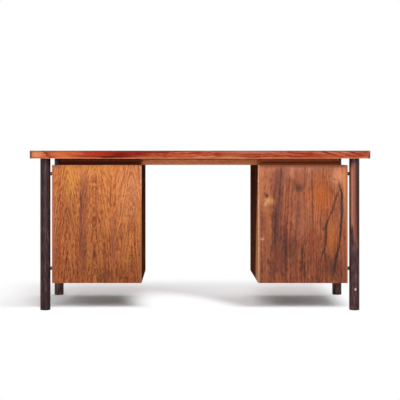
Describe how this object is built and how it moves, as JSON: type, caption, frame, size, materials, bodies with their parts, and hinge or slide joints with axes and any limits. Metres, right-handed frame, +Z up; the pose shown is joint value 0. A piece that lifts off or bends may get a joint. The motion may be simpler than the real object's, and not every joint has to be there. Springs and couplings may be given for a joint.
{
  "type": "executive desk",
  "caption": "Executive writing desk with a thick veneered worktop on round dark legs, and drawer pedestals hung between the legs on spacers, closed towards the visitor.",
  "frame": {"origin": "on the floor under the middle of the worktop", "axes": "+Z up, -Y towards the visitor's closed side, +Y towards the user's side with the drawers, +X to the visitor's right"},
  "size_m": [1.55, 0.76, 0.735],
  "materials": {
    "rosewood_top": "oiled rosewood veneer and lippings, satin",
    "rosewood_case": "oiled rosewood veneer, satin",
    "rosewood_front": "oiled rosewood veneer, satin",
    "lipping_wood": "oiled rosewood sapwood, satin",
    "leg_wood": "dark stained and lacquered, semi-gloss",
    "rail_wood": "stained, satin",
    "knob_wood": "turned rosewood, satin",
    "drawer_wood": "clear lacquered beech",
    "steel": "zinc plated",
    "spacer_metal": "black, satin",
    "glide_nylon": "moulded nylon"
  },
  "bodies": {
    "desk": {"front_rail": "rail_wood", "left_cross_rail": "rail_wood", "left_inner_side": "rosewood_case", "left_outer_side": "rosewood_case", "left_panel_lippings": "lipping_wood", "left_pedestal_bottom": "rosewood_case", "left_pedestal_top": "rosewood_case", "left_runners": "drawer_wood", "left_side_lippings": "rosewood_case", "left_visitor_panel": "rosewood_case", "leg_dowels": "drawer_wood", "leg_front_left": "leg_wood", "leg_front_right": "leg_wood", "leg_glides": "glide_nylon", "leg_rear_left": "leg_wood", "leg_rear_right": "leg_wood", "leg_spacers": "spacer_metal", "leg_studs": "steel", "rear_rail": "rail_wood", "right_cross_rail": "rail_wood", "right_inner_side": "rosewood_case", "right_outer_side": "rosewood_case", "right_panel_lippings": "lipping_wood", "right_pedestal_bottom": "rosewood_case", "right_pedestal_top": "rosewood_case", "right_runners": "drawer_wood", "right_side_lippings": "rosewood_case", "right_visitor_panel": "rosewood_case", "top_board": "rosewood_top", "top_lipping_front": "rosewood_top", "top_lipping_left": "rosewood_top", "top_lipping_rear": "rosewood_top", "top_lipping_right": "rosewood_top", "underframe_screws": "steel"},
    "left_top_drawer": {"left_top_drawer_back": "drawer_wood", "left_top_drawer_bottom": "drawer_wood", "left_top_drawer_front": "rosewood_front", "left_top_drawer_knob": "knob_wood", "left_top_drawer_sides": "drawer_wood"},
    "left_middle_drawer": {"left_middle_drawer_back": "drawer_wood", "left_middle_drawer_bottom": "drawer_wood", "left_middle_drawer_front": "rosewood_front", "left_middle_drawer_knob": "knob_wood", "left_middle_drawer_sides": "drawer_wood"},
    "left_bottom_drawer": {"left_bottom_drawer_back": "drawer_wood", "left_bottom_drawer_bottom": "drawer_wood", "left_bottom_drawer_front": "rosewood_front", "left_bottom_drawer_knob": "knob_wood", "left_bottom_drawer_sides": "drawer_wood"},
    "right_top_drawer": {"right_top_drawer_back": "drawer_wood", "right_top_drawer_bottom": "drawer_wood", "right_top_drawer_front": "rosewood_front", "right_top_drawer_knob": "knob_wood", "right_top_drawer_sides": "drawer_wood"},
    "right_file_drawer": {"right_file_drawer_back": "drawer_wood", "right_file_drawer_bottom": "drawer_wood", "right_file_drawer_front": "rosewood_front", "right_file_drawer_knob": "knob_wood", "right_file_drawer_sides": "drawer_wood"}
  },
  "joints": [
    {"name": "left_top_drawer_slide", "type": "slide", "parent": "desk", "child": "left_top_drawer", "axis": [0, 1, 0], "range_m": [0, 0.4]},
    {"name": "left_middle_drawer_slide", "type": "slide", "parent": "desk", "child": "left_middle_drawer", "axis": [0, 1, 0], "range_m": [0, 0.4]},
    {"name": "left_bottom_drawer_slide", "type": "slide", "parent": "desk", "child": "left_bottom_drawer", "axis": [0, 1, 0], "range_m": [0, 0.4]},
    {"name": "right_top_drawer_slide", "type": "slide", "parent": "desk", "child": "right_top_drawer", "axis": [0, 1, 0], "range_m": [0, 0.4]},
    {"name": "right_file_drawer_slide", "type": "slide", "parent": "desk", "child": "right_file_drawer", "axis": [0, 1, 0], "range_m": [0, 0.4]}
  ]
}
